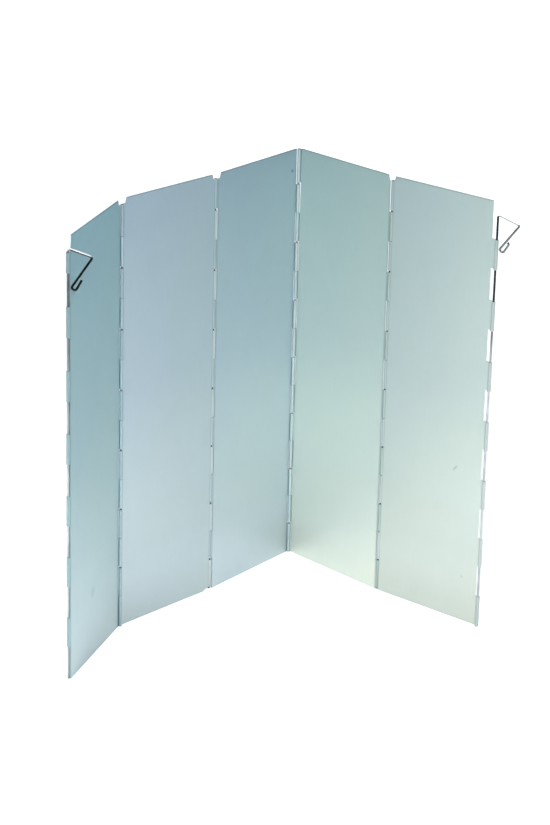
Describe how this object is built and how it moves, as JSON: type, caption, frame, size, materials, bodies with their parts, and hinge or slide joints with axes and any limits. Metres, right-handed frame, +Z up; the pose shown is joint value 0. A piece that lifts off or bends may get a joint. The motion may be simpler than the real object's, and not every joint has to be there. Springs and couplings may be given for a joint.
{
  "type": "stove windscreen",
  "caption": "Folding sheet-metal stove windscreen: upright panels hinged by knuckles rolled round wire pins, with a hooked wire ground stake in each outer edge.",
  "frame": {"origin": "on the ground, in the middle of the standing screen's box", "axes": "+Z up, -Y towards the open front of the screen, +X to the right seen from the front"},
  "size_m": [0.3804, 0.2976, 0.4],
  "materials": {
    "sheet": "satin mill finish",
    "wire": "bright plated"
  },
  "bodies": {
    "middle": {"middle_panel": "sheet", "hinge_pin_2": "wire", "hinge_pin_3": "wire"},
    "left_inner": {"left_inner_panel": "sheet", "hinge_pin_1": "wire"},
    "left_outer": {"left_outer_panel": "sheet"},
    "right_inner": {"right_inner_panel": "sheet", "hinge_pin_4": "wire"},
    "right_outer": {"right_outer_panel": "sheet"},
    "left_wire": {"left_stake": "wire"},
    "right_wire": {"right_stake": "wire"}
  },
  "joints": [
    {"name": "fold_2", "type": "hinge", "parent": "middle", "child": "left_inner", "pos_m": [-0.07443, 0.05452, 0.2], "axis": [0, 0, -1], "range_deg": [-95, 173]},
    {"name": "fold_1", "type": "hinge", "parent": "left_inner", "child": "left_outer", "pos_m": [-0.15131, -0.03505, 0.2], "axis": [0, 0, 1], "range_deg": [-115, 143]},
    {"name": "fold_3", "type": "hinge", "parent": "middle", "child": "right_inner", "pos_m": [-0.00118, 0.14707, 0.2], "axis": [0, 0, -1], "range_deg": [-189, 79]},
    {"name": "fold_4", "type": "hinge", "parent": "right_inner", "child": "right_outer", "pos_m": [0.08281, 0.06413, 0.2], "axis": [0, 0, 1], "range_deg": [-96, 172]},
    {"name": "left_stake_slide", "type": "slide", "parent": "left_outer", "child": "left_wire", "axis": [0, 0, 1], "range_m": [0, 0.35]},
    {"name": "right_stake_slide", "type": "slide", "parent": "right_outer", "child": "right_wire", "axis": [0, 0, 1], "range_m": [-0.02, 0.35]}
  ]
}
